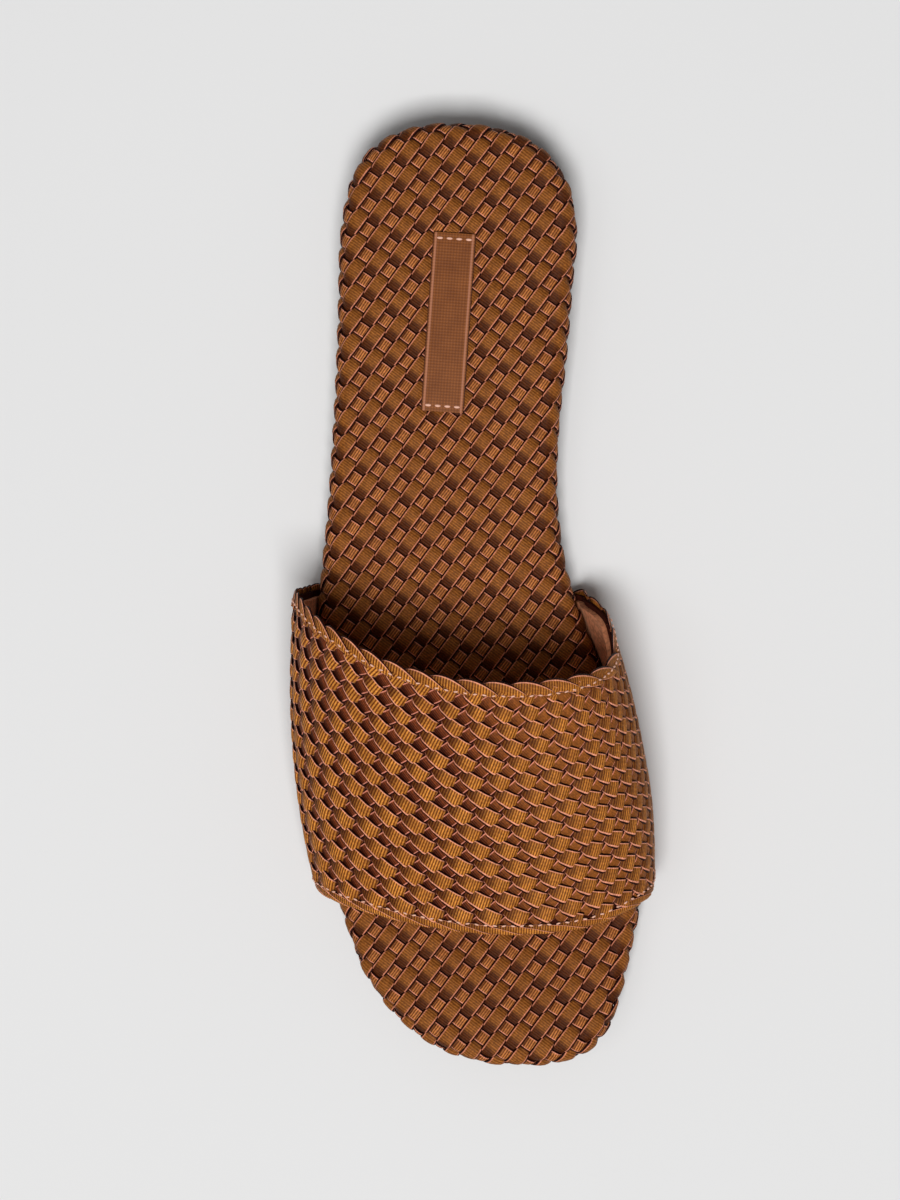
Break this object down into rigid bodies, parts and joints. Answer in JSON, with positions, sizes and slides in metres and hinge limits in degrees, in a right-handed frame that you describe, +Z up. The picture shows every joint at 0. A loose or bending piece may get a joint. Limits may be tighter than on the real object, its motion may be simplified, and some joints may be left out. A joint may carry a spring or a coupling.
{
  "type": "slide sandal",
  "caption": "Woven slide sandal: a broad ribbon-weave strap over a padded, ribbon-wrapped footbed on a thin moulded outsole with a low heel block; right foot",
  "frame": {"origin": "on the floor plane, under the middle of the sandal's bounding box", "axes": "+Z up from the floor, +Y from the toe towards the heel along the sandal's length, +X towards the inner (big toe) side"},
  "size_m": [0.0958, 0.2562, 0.0646],
  "materials": {
    "outsole": "matte moulded dark brown",
    "footbed": "ribbed ribbon weave, chestnut brown, low sheen",
    "upper": "ribbed ribbon weave, chestnut brown, low sheen",
    "heel_tab": "smooth brown, satin"
  },
  "bodies": {
    "root": {"outsole": "outsole", "footbed": "footbed", "upper": "upper", "heel_tab": "heel_tab"}
  },
  "joints": []
}
